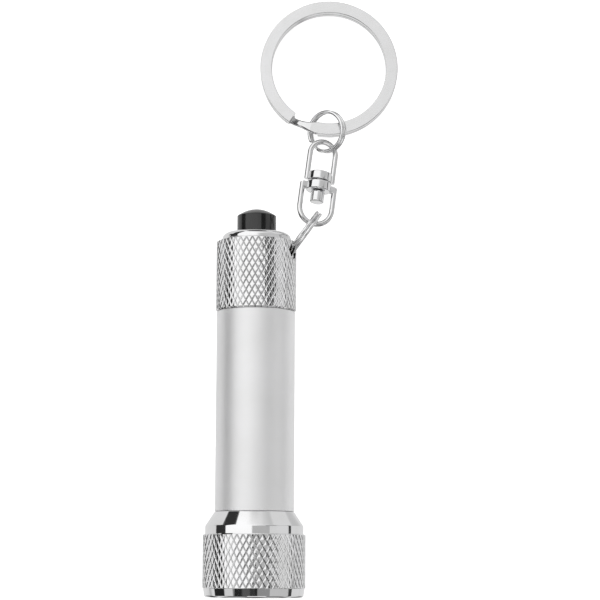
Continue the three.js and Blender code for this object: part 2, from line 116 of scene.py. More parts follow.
# The cell's seal is an outline counted from the edge of its cap.
CELL = dict(
    count=4, radius=5.8, height=5.4, pitch=5.45, cap=5.1, cap_height=0.5, start=14.75, edge=0.25,
    seal=((0, -0.05), (0.12, -0.25), (0.3, 0.05)),
)
SLEEVE = dict(inner=5.88, outer=6.18, start=14.4, end=36.9)
SWITCH = dict(
    start=43.95, body=5.65, body_end=55.25, flange=6.3, flange_end=56.2, nose=4.6, nose_end=58.5,
    bore=1.35, bore_start=54.0,
)
CONTACT_PLATE = dict(radius=4.6, start=43.45, end=43.85)
PLUNGER = dict(radius=1.2, start=55.5, end=65.5)
RETAINER = dict(inner=4.75, outer=6.5, start=56.35, end=57.5)
O_RINGS = dict(head_o_ring=(6.6, 12.85), tail_o_ring=(6.2, 53.4))
O_RING_SECTION = 0.36
GROOVE = dict(width=0.9, depth=0.4)
# Springs: mean radius and station at the start and at the end, wire and turns.
SPRINGS = dict(
    front_contact_spring=dict(start=(3.2, 11.05), end=(1.7, 14.5), wire=0.4, turns=4),
    rear_contact_spring=dict(start=(3.9, 36.85), end=(3.9, 43.15), wire=0.5, turns=5),
    button_spring=dict(start=(1.95, 58.75), end=(1.95, 65.3), wire=0.36, turns=7),
)
# Split rings: two turns, whose ends and the bend between them are in degrees round the ring's axis.
LOWER_RING = dict(diameter=10, wire=0.62, pitch=0.66, bend=(285, 318), lower_end=328, upper_end=275)
UPPER_RING = dict(diameter=7.95, wire=0.68, pitch=0.76, bend=(215, 245), lower_end=253, upper_end=207)
KEY_RING = dict(
    diameter=25.45, width=2.15, thickness=1.2, pitch=1.26, bend=(233, 247), lower_end=260.5,
    upper_end=234.5, corner=0.12, bend_width=1.3, bend_inset=0.28, bend_corner=0.36,
    narrowing=(233, 236), widening=(243, 261),
)
# A face of the key ring is a ground one where the cosine of its angle to the ring's plane is over this.
GROUND_LIMIT = 0.985
# A wire's rounded end: where a loop's first sections stand, and the first ones' share of its diameter.
WIRE_TIP_STATIONS = (0, 0.06, 0.25)
WIRE_TIP_SHARES = (0.55, 0.92)
# Edges over this many degrees stay sharp.
SHARP_ANGLE = 28
# How far a cutting body runs past what it cuts.
CUT_MARGIN = 1
# A corner flatter than this isn't rounded off, and rounding takes at most that share of each side.
STRAIGHT_ANGLE = math.radians(12)
ROUNDING_SHARE = 0.45


# ------------------------------------------------------------------ local frames, from the CAD
def rigid_frame(origin, x, y):
    """A rigid frame with that origin and Y axis, and with its X axis as near to x as it can be."""
    y = Vector(y).normalized()
    z = Vector(x).cross(y).normalized()
    place = Matrix((y.cross(z), y, z)).transposed().to_4x4()
    place.translation = Vector(origin)
    return place


def local_box(node, place):
    """Lowest and highest corner of a CAD node in a local frame, in millimetres."""
    inverse = place.inverted()
    points = [inverse @ vertex.co / MM for vertex in frame["nodes"][node].data.vertices]
    return tuple(Vector([pick(point[i] for point in points) for i in range(3)]) for pick in (min, max))


def torch_frame():
    """Y runs along the torch from its front rim to the push button, and X points to the world's +X."""
    joint = JOINTS["head_unscrew"]
    place = rigid_frame(joint["pos_m"], (1, 0, 0), -Vector(joint["axis"]))
    front = local_box("head_shell", place)[0].y
    place.translation = place @ Vector((0, front * MM, 0))
    return place


def swivel_frame():
    """Y is the swivel's own axis, from its lower loop to its upper one, and X lies across the loops."""
    spin = JOINTS["swivel_spin"]
    return rigid_frame(spin["pos_m"], JOINTS["swivel_lift"]["axis"], spin["axis"])


def thin_axis(node):
    """The direction in which a flat CAD piece is thinnest. Any slanting start turns towards it."""
    points = [vertex.co / MM for vertex in frame["nodes"][node].data.vertices]
    centre = sum(points, Vector()) / len(points)
    offsets = [point - centre for point in points]
    spread = [[sum(p[i] * p[j] for p in offsets) for j in range(3)] for i in range(3)]
    inverse = Matrix(spread).inverted()
    direction = Vector((1, 0.7, 0.4))
    for _ in range(60):
        direction = (inverse @ direction).normalized()
    return direction


def ring_frame(node, axis, y):
    """Z is the ring's axis, and the origin is the middle of the ring's box."""
    z = Vector(axis).normalized()
    x = Vector(y).cross(z)
    place = rigid_frame((0, 0, 0), x, z.cross(x))
    low, high = local_box(node, place)
    place.translation = place @ ((low + high) / 2 * MM)
    return place


TORCH_PLACE = torch_frame()
SWIVEL_PLACE = swivel_frame()
KEY_RING_PLACE = ring_frame("key_ring", MOUNTS["key_ring_face"]["axis"], (0, 1, 0))
UPPER_RING_AXIS = thin_axis("upper_split_ring")
UPPER_RING_AXIS *= math.copysign(1, UPPER_RING_AXIS.z)
UPPER_RING_PLACE = ring_frame("upper_split_ring", UPPER_RING_AXIS, (0, 1, 0))
LOWER_RING_AXIS = thin_axis("lower_split_ring")
LOWER_RING_AXIS *= math.copysign(1, LOWER_RING_AXIS.x)
LOWER_RING_Y = TORCH_PLACE.col[2].xyz.cross(LOWER_RING_AXIS)
LOWER_RING_PLACE = ring_frame("lower_split_ring", LOWER_RING_AXIS, LOWER_RING_Y)


# ------------------------------------------------------------------ mesh helpers
def shade(mesh):
    """Smooth shading in which a wide face keeps its own direction and a sharp edge stays sharp."""
    limit = math.cos(math.radians(SHARP_ANGLE))
    faces_at = [[] for _ in mesh.vertices]
    for polygon in mesh.polygons:
        polygon.use_smooth = True
        for vertex in polygon.vertices:
            faces_at[vertex].append((polygon.normal.copy(), polygon.area))
    normals = []
    for polygon in mesh.polygons:
        for vertex in polygon.vertices:
            near = [
                normal * area for normal, area in faces_at[vertex] if normal.dot(polygon.normal) > limit
            ]
            normals.append(sum(near, Vector()).normalized())
    mesh.normals_split_custom_set(normals)


def new_object(bm, name, place):
    bmesh.ops.recalc_face_normals(bm, faces=bm.faces)
    mesh = bpy.data.meshes.new(name)
    bm.to_mesh(mesh)
    bm.free()
    piece = bpy.data.objects.new(name, mesh)
    bpy.context.scene.collection.objects.link(piece)
    piece.matrix_world = place
    return piece


def combine(piece, others, operation):
    """Joins closed bodies to a piece, or cuts them out of it, and takes the bodies away."""
    for other in others:
        step = piece.modifiers.new(operation, "BOOLEAN")
        step.operation = operation
        step.solver = "EXACT"
        step.object = other
    bpy.context.view_layer.update()
    evaluated = piece.evaluated_get(bpy.context.evaluated_depsgraph_get())
    mesh = bpy.data.meshes.new_from_object(evaluated)
    piece.modifiers.clear()
    old, piece.data = piece.data, mesh
    bpy.data.meshes.remove(old)
    mesh.name = piece.name
    for other in others:
        bpy.data.objects.remove(other)


def finish_piece(bm, name, node, place, joined=(), cut=(), materials=None):
    """Makes the mesh an object that stands for its CAD node and rides on that node's body."""
    piece = new_object(bm, name, place)
    for material in materials or [finish_of(node)]:
        piece.data.materials.append(material)
    if joined:
        combine(piece, joined, "UNION")
    if cut:
        combine(piece, cut, "DIFFERENCE")
    shade(piece.data)
    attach(piece, BODY_OF[node])
    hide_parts(node)
    return piece


def even_angles(count):
    return [2 * math.pi * i / count for i in range(count)]


def ring_of_corners(bm, radius, station, angles):
    """Corners round the Y axis, or the one point on the axis where the radius is nothing."""
    if radius < 1e-6:
        return [bm.verts.new((0, station * MM, 0))]
    out, along = radius * MM, station * MM
    return [bm.verts.new((out * math.sin(a), along, out * math.cos(a))) for a in angles]


def bridge(bm, first, second):
    """Faces between two rings of corners. Either ring may be a single point."""
    count = max(len(first), len(second))
    for i in range(count):
        j = (i + 1) % count
        corners = [
            first[i % len(first)], first[j % len(first)],
            second[j % len(second)], second[i % len(second)],
        ]
        kept = list(dict.fromkeys(corners))
        if len(kept) > 2:
            bm.faces.new(kept)


def softened(outline, cut=0.1, steps=3, closed=True):
    """An outline of (radius, station) corners with each corner rounded off."""
    points = [Vector(point) for point in outline]
    result = []
    for i, corner in enumerate(points):
        end = not closed and i in (0, len(points) - 1)
        before = points[i - 1]
        after = points[(i + 1) % len(points)]
        if end or (before - corner).angle(corner - after, 0) < STRAIGHT_ANGLE:
            result.append(corner)
            continue
        start, stop = (
            corner + side.normalized() * min(cut, ROUNDING_SHARE * side.length)
            for side in (before - corner, after - corner)
        )
        for step in range(steps + 1):
            t = step / steps
            result.append(start * (1 - t) ** 2 + corner * 2 * t * (1 - t) + stop * t ** 2)
    return result


def turned(bm, outline, sides=96, closed=True):
    """A turned body about the Y axis. An open outline starts and ends on the axis."""
    angles = even_angles(sides)
    rings = [ring_of_corners(bm, radius, station, angles) for radius, station in outline]
    for first, second in zip(rings, rings[1:]):
        bridge(bm, first, second)
    if closed:
        bridge(bm, rings[-1], rings[0])


def knurled_band(bm, knurl, start, end):
    """Crowned diamonds round the Y axis, grooves in the second material, a darker chrome that is painted shade.
    Returns its two end rings.
    """
    step = math.pi / knurl["around"]
    pitch = (end - start) / knurl["rows"]
    columns = 2 * knurl["around"]

    def corner(i, j, drop):
        radius = (knurl["crest"] - drop) * MM
        along = (start + j * pitch) * MM
        return bm.verts.new((radius * math.sin(i * step), along, radius * math.cos(i * step)))

    valleys = {
        (i, j): corner(i, j, knurl["depth"])
        for j in range(knurl["rows"] + 1)
        for i in range(columns)
        if (i + j) % 2 == 0
    }
    uneven = random.Random(knurl["around"])
    ends = {0: [], knurl["rows"]: []}
    sides = ((1, 0), (0, 1), (-1, 0), (0, -1))
    for j in range(knurl["rows"] + 1):
        for i in range((j + 1) % 2, columns, 2):
            inside = [0 <= j + side[1] <= knurl["rows"] for side in sides]
            levels = [[corner(i, j, 0)] * 4]
            lean = Vector([uneven.uniform(-DIAMOND_LEAN, DIAMOND_LEAN) for _ in range(2)])
            for part, drop in DIAMOND:
                depth = drop * knurl["depth"]
                levels.append([
                    corner(i + side[0] * part, j + side[1] * part, depth + part * lean.dot(side))
                    if kept else None
                    for side, kept in zip(sides, inside)
                ])
            levels.append([valleys.get(((i + side[0]) % columns, j + side[1])) for side in sides])
            for quadrant in range(4):
                other = (quadrant + 1) % 4
                if not (inside[quadrant] and inside[other]):
                    continue
                for inner, outer in zip(levels, levels[1:]):
                    corners = (inner[quadrant], outer[quadrant], outer[other], inner[other])
                    face = bm.faces.new(dict.fromkeys(corners))
                    # Faces that reach the groove take the darker chrome: painted shade in the grooves.
                    face.material_index = int(outer is levels[-1])
            if j in ends:
                ends[j] += [level[2] for level in reversed(levels)]
                ends[j] += [level[0] for level in levels[1:-1]]
    return ends[0], ends[knurl["rows"]]


def knurled_turning(bm, knurl, start, end, outline):
    """A turned body: its outline leaves the knurled band at the far end and comes back to the near one.

    The corners of the two ends of the band don't line up, so the outline turns a little over its middle.
    """
    first, last = knurled_band(bm, knurl, start, end)
    around = [[math.atan2(corner.co.x, corner.co.z) for corner in ring] for ring in (last, first)]
    turn = 2 * math.pi
    shift = (around[1][0] - around[0][0] + math.pi) % turn - math.pi
    turn_start, turn_length = 0.35 * len(outline), 0.3 * len(outline)
    rings = [last]
    for i, (radius, station) in enumerate(outline):
        share = min(1, max(0, (i - turn_start) / turn_length))
        angles = [angle + shift * share for angle in around[0]]
        rings.append(ring_of_corners(bm, radius, station, angles))
    rings.append(first)
    for one, two in zip(rings, rings[1:]):
        bridge(bm, one, two)


def swept(bm, path, sections):
    """A bar along a path of (centre, side, up), with one flat section of (side, up) corners for each."""
    rings = []
    for (centre, side, up), section in zip(path, sections):
        rings.append([bm.verts.new((centre + side * a + up * b) * MM) for a, b in section])
    for first, second in zip(rings, rings[1:]):
        bridge(bm, first, second)
    bm.faces.new(rings[0])
    bm.faces.new(rings[-1])
    return rings


def round_section(diameter, sides=16):
    return [(diameter / 2 * math.cos(a), diameter / 2 * math.sin(a)) for a in even_angles(sides)]


def rounded_rectangle(width, height, radius, steps=3):
    """Corners of a rectangle with rounded corners, counter-clockwise."""
    corners = []
    for x, y, start in ((1, -1, -90), (1, 1, 0), (-1, 1, 90), (-1, -1, 180)):
        for step in range(steps + 1):
            angle = math.radians(start + 90 * step / steps)
            corners.append((
                x * (width / 2 - radius) + radius * math.cos(angle),
                y * (height / 2 - radius) + radius * math.sin(angle),
            ))
    return corners


def smoothstep(value, low, high):
    t = min(1, max(0, (value - low) / (high - low)))
    return t * t * (3 - 2 * t)


def split_ring_angles(ring, steps):
    first, last = ring["lower_end"], ring["upper_end"] + 720
    return [first + (last - first) * i / steps for i in range(steps + 1)]


def split_ring_path(ring, angles, radius):
    """Two flat turns about the Z axis, with one short rise between them."""
    path = []
    for angle in angles:
        turn = math.radians(angle)
        rise = smoothstep(angle, ring["bend"][0] + 360, ring["bend"][1] + 360)
        side = Vector((math.cos(turn), math.sin(turn), 0))
        centre = side * radius + Vector((0, 0, ring["pitch"] * (rise - 0.5)))
        path.append((centre, side, Vector((0, 0, 1))))
    return path


def spring_path(spring, steps_per_turn=40):
    """A helix about the Y axis, with half a closed turn at each end."""
    steps = spring["turns"] * steps_per_turn
    closed_share = 0.5 / spring["turns"]
    (first_radius, first), (last_radius, last) = spring["start"], spring["end"]
    path = []
    for i in range(steps + 1):
        share = min(1, max(0, (i / steps - closed_share) / (1 - 2 * closed_share)))
        turn = 2 * math.pi * spring["turns"] * i / steps
        side = Vector((math.cos(turn), 0, math.sin(turn)))
        radius = first_radius + (last_radius - first_radius) * share
        centre = side * radius + Vector((0, first + (last - first) * share, 0))
        path.append((centre, side, Vector((0, 1, 0))))
    return path


def wire_sections(diameter, count, sides=16):
    """Sections of a wire whose two ends are rounded off."""
    sections = [round_section(diameter, sides)] * count
    for i, share in enumerate(WIRE_TIP_SHARES):
        sections[i] = sections[-1 - i] = round_section(share * diameter, sides)
    return sections


# ------------------------------------------------------------------ materials
def grey(value):
    return (value, value, value, 1)


class Finish:
    """A procedural material: a principled shader with noise in its colour, its polish and its relief."""

    def __init__(self, name):
        self.material = bpy.data.materials.new(name)
        self.material.use_nodes = True
        self.nodes = self.material.node_tree.nodes
        self.links = self.material.node_tree.links
        self.shader = self.nodes["Principled BSDF"]
        self.place = self.nodes.new("ShaderNodeTexCoord").outputs["Object"]

    def set(self, **values):
        for name, value in values.items():
            self.shader.inputs[name.replace("_", " ")].default_value = value
        return self

    def noise(self, scale, detail=3, stretch=(1, 1, 1)):
        """Noise with features of about 1 / scale metres, drawn out along axes with a small stretch."""
        mapping = self.nodes.new("ShaderNodeMapping")
        mapping.inputs["Scale"].default_value = stretch
        self.links.new(self.place, mapping.inputs["Vector"])
        texture = self.nodes.new("ShaderNodeTexNoise")
        texture.inputs["Scale"].default_value = scale
        texture.inputs["Detail"].default_value = detail
        self.links.new(mapping.outputs["Vector"], texture.inputs["Vector"])
        return texture.outputs["Fac"]

    def colour(self, source, low, high, span=(0.35, 0.65)):
        ramp = self.nodes.new("ShaderNodeValToRGB")
        for element, position, value in zip(ramp.color_ramp.elements, span, (low, high)):
            element.position = position
            element.color = value
        self.links.new(source, ramp.inputs["Fac"])
        self.links.new(ramp.outputs["Color"], self.shader.inputs["Base Color"])
        return self

    def roughness(self, source, low, high):
        ranged = self.nodes.new("ShaderNodeMapRange")
        for name, value in (("From Min", 0.3), ("From Max", 0.7), ("To Min", low), ("To Max", high)):
            ranged.inputs[name].default_value = value
        self.links.new(source, ranged.inputs["Value"])
        self.links.new(ranged.outputs["Result"], self.shader.inputs["Roughness"])
        return self

    def relief(self, source, depth, strength=1.0):
        bump = self.nodes.new("ShaderNodeBump")
        bump.inputs["Distance"].default_value = depth
        bump.inputs["Strength"].default_value = strength
        self.links.new(source, bump.inputs["Height"])
        self.links.new(bump.outputs["Normal"], self.shader.inputs["Normal"])
        return self


def chrome(name, low=0.80, high=0.84, polish=(0.03, 0.08), ripple=1.5e-6):
    finish = Finish(name).set(Metallic=1.0)
    finish.colour(finish.noise(260, 4), grey(low), (high, high, high * 1.01, 1))
    finish.roughness(finish.noise(700, 5), *polish)
    return finish.relief(finish.noise(450, 2), ripple).material


def satin_aluminium(name):
    finish = Finish(name)
    grain = finish.noise(1, 6, stretch=(160, 9000, 160))
    finish.colour(finish.noise(120, 4), grey(0.93), (0.97, 0.97, 0.975, 1))
    finish.set(Metallic=0.85)
    finish.roughness(grain, 0.46, 0.52)
    return finish.relief(grain, 2e-6, 0.3).material


def ground_nickel(name):
    """The flat faces of the key ring: ground across, then plated."""
    finish = Finish(name).set(Metallic=1.0)
    grain = finish.noise(1, 6, stretch=(900, 7000, 900))
    finish.colour(finish.noise(200, 4), grey(0.69), (0.72, 0.72, 0.725, 1))
    finish.roughness(grain, 0.2, 0.26)
    return finish.relief(grain, 4e-7, 0.2).material


def gloss_black(name):
    finish = Finish(name).set(Specular_IOR_Level=0.62)
    finish.colour(finish.noise(300, 4), grey(0.010), grey(0.018))
    finish.roughness(finish.noise(900, 4), 0.08, 0.16)
    return finish.relief(finish.noise(1500, 3), 1e-6).material


def moulded(name, low, high, roughness=(0.4, 0.55)):
    finish = Finish(name)
    finish.colour(finish.noise(400, 4), low, high)
    finish.roughness(finish.noise(1200, 4), *roughness)
    return finish.relief(finish.noise(5000, 3), 6e-6, 0.6).material


def drawn_metal(name, low, high, roughness=(0.15, 0.35)):
    finish = Finish(name).set(Metallic=1.0)
    finish.colour(finish.noise(500, 4), low, high)
    finish.roughness(finish.noise(1500, 5), *roughness)
    return finish.relief(finish.noise(6000, 3), 3e-6, 0.5).material


def clear(name, ior, roughness, low, high):
    finish = Finish(name).set(Transmission_Weight=1.0, IOR=ior)
    finish.colour(finish.noise(150, 3), low, high)
    finish.roughness(finish.noise(800, 3), *roughness)
    return finish.material


FINISH = {
    "polished_chrome": chrome("polished_chrome"),
    "link_chrome": chrome("link_chrome", 0.78, 0.83, (0.05, 0.1)),
    "satin_aluminium": satin_aluminium("satin_aluminium"),
    "key_ring_nickel": ground_nickel("key_ring_nickel"),
    "button_plastic": gloss_black("button_plastic"),
    "clear_lens": clear("clear_lens", 1.49, (0.0, 0.03), (0.98, 0.99, 1.0, 1), grey(1.0)),
    "led_epoxy": clear("led_epoxy", 1.5, (0.02, 0.08), (0.96, 0.97, 0.97, 1), grey(0.99)),
    "reflector_mirror": chrome("reflector_mirror", 0.86, 0.9, (0.02, 0.06)),
    "circuit_board": moulded("circuit_board", (0.02, 0.11, 0.04, 1), (0.03, 0.16, 0.06, 1), (0.3, 0.45)),
    "black_component": moulded("black_component", grey(0.02), grey(0.035)),
    "black_rubber": moulded("black_rubber", grey(0.012), grey(0.022), (0.65, 0.85)),
    "sleeve_plastic": moulded("sleeve_plastic", grey(0.7), grey(0.78)),
    "switch_plastic": moulded("switch_plastic", grey(0.02), grey(0.03)),
    "plunger_plastic": moulded("plunger_plastic", (0.72, 0.7, 0.64, 1), (0.8, 0.78, 0.72, 1)),
    "spring_steel": drawn_metal("spring_steel", grey(0.5), grey(0.6)),
    "cell_steel": drawn_metal("cell_steel", grey(0.6), grey(0.68)),
    "contact_brass": drawn_metal("contact_brass", (0.72, 0.52, 0.2, 1), (0.82, 0.62, 0.28, 1)),
}
KEY_RING_WALL = chrome("key_ring_wall", 0.72, 0.78, (0.06, 0.14))
# A darker, rougher chrome for the knurl's grooves: its darker colour is painted shade in the recesses.
KNURL_GROOVE_PAINTED_SHADE = chrome("knurl_groove_painted_shade", 0.62, 0.74, (0.08, 0.16))
PHOSPHOR = moulded("led_phosphor", (0.85, 0.62, 0.12, 1), (0.95, 0.75, 0.22, 1), (0.5, 0.7))


def finish_of(node):
    return FINISH[SLOT_OF[node]]


# The piece's own finish, and the darker chrome of painted shade for its knurl's grooves.
def knurled_finish_and_groove_shade(node):
    return [finish_of(node), KNURL_GROOVE_PAINTED_SHADE]


# ------------------------------------------------------------------ torch: outside
def turned_piece(name, node, outline, sides=96, closed=True, **options):
    bm = bmesh.new()
    turned(bm, outline, sides, closed)
    return finish_piece(bm, name, node, TORCH_PLACE, **options)


def solid_of_turning(outline, place, sides=48):
    """A turned body to join to a piece or cut out of it."""
    bm = bmesh.new()
    turned(bm, [(0, outline[0][1]), *outline, (0, outline[-1][1])], sides, closed=False)
    return new_object(bm, "tool", place)


def head_shell():
    h = HEAD
    outline = softened([
        (h["band"], h["knurl_end"] + h["end_step"]), (h["band"], h["band_end"]), (h["cone"], h["end"]),
        (h["thread"], h["end"]), (h["thread"], h["thread_start"]), (h["chamber"], h["thread_start"]),
        (h["chamber"], h["lip_end"]), (h["window"], h["lip_end"]), (h["window"], 0), (h["rim"], 0),
        (h["front"], h["corner_end"]), (h["flare"], h["knurl_start"] - h["start_step"]),
    ], cut=0.1, closed=False)
    bm = bmesh.new()
    knurled_turning(bm, HEAD_KNURL, h["knurl_start"], h["knurl_end"], outline)
    materials = knurled_finish_and_groove_shade("head_shell")
    finish_piece(bm, "chrome_head_shell", "head_shell", TORCH_PLACE, materials=materials)


def o_ring_groove(radius, station):
    half = GROOVE["width"] / 2
    floor_radius = radius - GROOVE["depth"]
    return [
        (radius, station - half), (floor_radius, station - half), (floor_radius, station + half),
        (radius, station + half),
    ]


def tube():
    t = TUBE
    outline = softened([
        (t["bore"], t["front_start"]), (t["front_spigot"], t["front_start"]),
        *o_ring_groove(t["front_spigot"], O_RINGS["head_o_ring"][1]),
        (t["front_spigot"], t["start"]), (t["radius"], t["start"]), (t["radius"], t["end"]),
        (t["rear_spigot"], t["end"]), *o_ring_groove(t["rear_spigot"], O_RINGS["tail_o_ring"][1]),
        (t["rear_spigot"], t["rear_end"]), (t["rear_bore"], t["rear_end"]),
        (t["rear_bore"], t["bore_step"]), (t["bore"], t["bore_step"]),
    ], cut=0.07)
    turned_piece("satin_tube", "tube", outline, 160)


def tail_cap():
    c = CAP
    shoulder = [
        (c["top_radius"] + (c["shoulder"] - c["top_radius"]) * math.cos(math.radians(angle)),
         c["chamfer_end"] + (c["top"] - c["chamfer_end"]) * math.sin(math.radians(angle)))
        for angle in range(0, 100, 10)
    ]
    outline = softened([
        (CAP_KNURL["crest"] - c["end_inset"], c["knurl_end"] + c["end_step"]),
        (c["shoulder"] + c["neck_flare"], c["knurl_end"] + c["neck_step"]),
        *shoulder, (c["button_hole"], c["top"]), (c["button_hole"], c["chamber_end"]),
        (c["chamber"], c["chamber_end"]), (c["chamber"], c["thread_end"]),
        (c["thread"], c["thread_end"]), (c["thread"], c["start"]),
        (CAP_KNURL["crest"] - c["start_inset"], c["start"]),
    ], cut=0.08, closed=False)
    bm = bmesh.new()
    knurled_turning(bm, CAP_KNURL, c["knurl_start"], c["knurl_end"], outline)
    drill = [(c["hole_radius"], c["drill_start"]), (c["hole_radius"], c["drill_end"])]
    drills = []
    for side in (-1, 1):
        turn = Matrix.Rotation(-side * math.radians(c["hole_angle"]), 4, "Y")
        lean = Matrix.Rotation(-math.pi / 2, 4, "Z")
        place = TORCH_PLACE @ Matrix.Translation((0, c["hole_station"] * MM, 0)) @ turn @ lean
        drills.append(solid_of_turning(drill, place))
    materials = knurled_finish_and_groove_shade("tail_cap")
    finish_piece(bm, "chrome_tail_cap", "tail_cap", TORCH_PLACE, cut=drills, materials=materials)


def push_button():
    b = BUTTON
    edge = math.sin(math.radians(b["dome_angle"]))
    dome = []
    for step in range(b["dome_steps"]):
        part = math.sin(math.radians(b["dome_angle"] - b["dome_step"] * step)) / edge
        height = (b["apex"] - b["side_end"]) * (1 - part ** 2)
        dome.append((b["radius"] * b["dome_share"] * part, b["side_end"] + height))
    outline = [
        (0, b["recess_end"]),
        *softened([
            (b["recess"], b["recess_end"]), (b["recess"], b["flange_start"]),
            (b["flange"], b["flange_start"]), (b["flange"], b["flange_end"]),
            (b["radius"], b["flange_end"]), (b["radius"], b["side_end"] - b["edge_step"]),
        ], cut=0.1, closed=False),
        *dome, (0, b["apex"]),
    ]
    turned_piece("gloss_push_button", "push_button", outline, 128, closed=False)


# ------------------------------------------------------------------ torch: inside
def disc_outline(radius, start, end, cut=0.12):
    return softened([(0, start), (radius, start), (radius, end), (0, end)], cut, closed=False)


def ring_outline(inner, outer, start, end, cut=0.08):
    return softened([(inner, start), (outer, start), (outer, end), (inner, end)], cut)


def painted(bm, index, build, *arguments, **options):
    """Adds to the mesh with one of the builders, and gives the new faces their material."""
    before = set(bm.faces)
    build(bm, *arguments, **options)
    for face in bm.faces:
        if face not in before:
            face.material_index = index


def block(bm, low, high):
    """A box with softened long edges, drawn along Y between two corners."""
    low, high = Vector(low), Vector(high)
    middle, size = (low + high) / 2, high - low
    section = rounded_rectangle(size.x, size.z, 0.2 * min(size.x, size.z))
    ends = [Vector((middle.x, station, middle.z)) for station in (low.y, high.y)]
    swept(bm, [(end, Vector((1, 0, 0)), Vector((0, 0, 1))) for end in ends], [section] * 2)


def led_centre(number):
    turn = 2 * math.pi * number / LED["count"] + math.pi / 2
    return Vector((math.cos(turn), 0, math.sin(turn))) * LED["circle"]


def led_place(number):
    centre = led_centre(number)
    turn = Matrix.Rotation(math.pi / 2 - math.atan2(centre.z, centre.x), 4, "Y")
    return TORCH_PLACE @ Matrix.Translation(centre * MM) @ turn


def lens():
    turned_piece("clear_front_lens", "lens", disc_outline(**LENS), closed=False)


def lens_seal():
    turned_piece("rubber_lens_seal", "lens_seal", ring_outline(**SEAL, cut=0.2))


def reflector():
    r = REFLECTOR
    flare = []
    for share in (0, 0.25, 0.5, 0.75, 1):
        radius = r["throat"] + (r["cup"] - r["throat"]) * (1 - share) ** 2
        flare.append((radius, r["start"] + r["cup_depth"] * share))
    cup = [(r["cup"], r["start"] - CUT_MARGIN), *flare, (r["throat"], r["end"] + CUT_MARGIN)]
    cups = []
    for number in range(LED["count"]):
        place = TORCH_PLACE @ Matrix.Translation(led_centre(number) * MM)
        cups.append(solid_of_turning(cup, place, 64))
    outline = disc_outline(r["radius"], r["start"], r["end"])
    turned_piece("mirror_reflector", "reflector", outline, closed=False, cut=cups)


def led_lamp(number):
    """A clear domed body on a flange, with its cup and yellow chip inside and two leads behind."""
    led = LED
    dome_start = led["tip"] + led["body"]
    dome = [
        (led["body"] * math.sin(turn), dome_start - led["body"] * math.cos(turn))
        for turn in (math.radians(angle) for angle in range(0, 95, 6))
    ]
    body = [
        *dome, (led["body"], led["flange_start"]), (led["flange"], led["flange_start"]),
        (led["flange"], led["back"]), (0, led["back"]),
    ]
    floor_station = led["die"] + led["die_gap"]
    post_end = led["cup_end"] + led["post_length"]
    cup = [
        (0, floor_station), (led["cup_floor"], floor_station), (led["cup_mouth"], led["cup_start"]),
        (led["cup_radius"], led["cup_start"]), (led["cup_radius"], led["cup_end"]),
        (led["post"], post_end), (0, post_end),
    ]
    die = [
        (0, led["die"] - led["die_crown"]), (led["die_front"], led["die"] - led["die_edge"]),
        (led["die_back"], led["die"] + led["die_edge"]), (0, led["die"] + led["die_crown"]),
    ]
    bm = bmesh.new()
    painted(bm, 0, turned, body, 48, closed=False)
    painted(bm, 1, turned, cup, 32, closed=False)
    painted(bm, 2, turned, die, 24, closed=False)
    half = led["lead_width"] / 2
    for side in (-1, 1):
        x = side * led["lead_spacing"] / 2
        low, high = (x - half, led["back"] + led["lead_gap"], -half), (x + half, led["lead_end"], half)
        painted(bm, 1, block, low, high)
    materials = [FINISH["led_epoxy"], FINISH["spring_steel"], PHOSPHOR]
    name = f"led_{number + 1}"
    finish_piece(bm, f"clear_{name}", name, led_place(number), materials=materials)


def led_board():
    """The lamp board, drilled for the leads, with a cone of solder round each of them."""
    b = BOARD
    drill = [(b["hole"], b["start"] - CUT_MARGIN), (b["hole"], b["end"] + CUT_MARGIN)]
    holes, cones = [], []
    for number in range(LED["count"]):
        for side in (-1, 1):
            place = led_place(number) @ Matrix.Translation((side * LED["lead_spacing"] / 2 * MM, 0, 0))
            holes.append(solid_of_turning(drill, place, 24))
            cones.append(TORCH_PLACE.inverted() @ place)
    outline = disc_outline(b["radius"], b["start"], b["end"], cut=0.05)
    board = turned_piece("green_led_board", "led_board", outline, closed=False, cut=holes)
    board.data.materials.append(FINISH["spring_steel"])
    bm = bmesh.new()
    bm.from_mesh(board.data)
    solder = [(b["hole"] + out, b["end"] + height) for out, height in SOLDER]
    for cone in cones:
        before = set(bm.verts)
        painted(bm, 1, turned, solder, 20)
        added = [vertex for vertex in bm.verts if vertex not in before]
        bmesh.ops.transform(bm, matrix=cone, verts=added)
    bmesh.ops.recalc_face_normals(bm, faces=bm.faces)
    bm.to_mesh(board.data)
    bm.free()
    shade(board.data)


def resistor():
    """A chip on the back of the board: a dark body between two tinned ends."""
    r = RESISTOR
    half_length, half_width, half_height = r["length"] / 2, r["width"] / 2, r["height"] / 2
    turn = Matrix.Rotation(math.pi / 2, 4, "Z")
    place = TORCH_PLACE @ Matrix.Translation(Vector((0, r["station"], -r["offset"])) * MM) @ turn
    bm = bmesh.new()
    inner = half_length - r["cap"]
    core = Vector((half_height * r["core_height"], inner, half_width * r["core_width"]))
    painted(bm, 0, block, -core, core)
    for side in (-1, 1):
        near, far = sorted((side * inner, side * half_length))
        painted(bm, 1, block, (-half_height, near, -half_width), (half_height, far, half_width))
    materials = [FINISH["black_component"], FINISH["spring_steel"]]
    finish_piece(bm, "chip_resistor", "resistor", place, materials=materials)


def cell(number):
    """A button cell: its can, the ring of its seal, and its smaller cap towards the lens."""
    c = CELL
    start = c["start"] + number * c["pitch"]
    rim = start + c["cap_height"]
    end = start + c["height"]
    seal = [(c["cap"] + out, rim + along) for out, along in c["seal"]]
    can = [(c["radius"], rim + c["edge"]), (c["radius"], end)]
    outline = [
        (0, start), *softened([(c["cap"], start), *seal, *can], cut=0.2, steps=4, closed=False),
        (c["radius"] - c["edge"], end), (0, end),
    ]
    turned_piece(f"steel_cell_{number + 1}", f"cell_{number + 1}", outline, 64, closed=False)


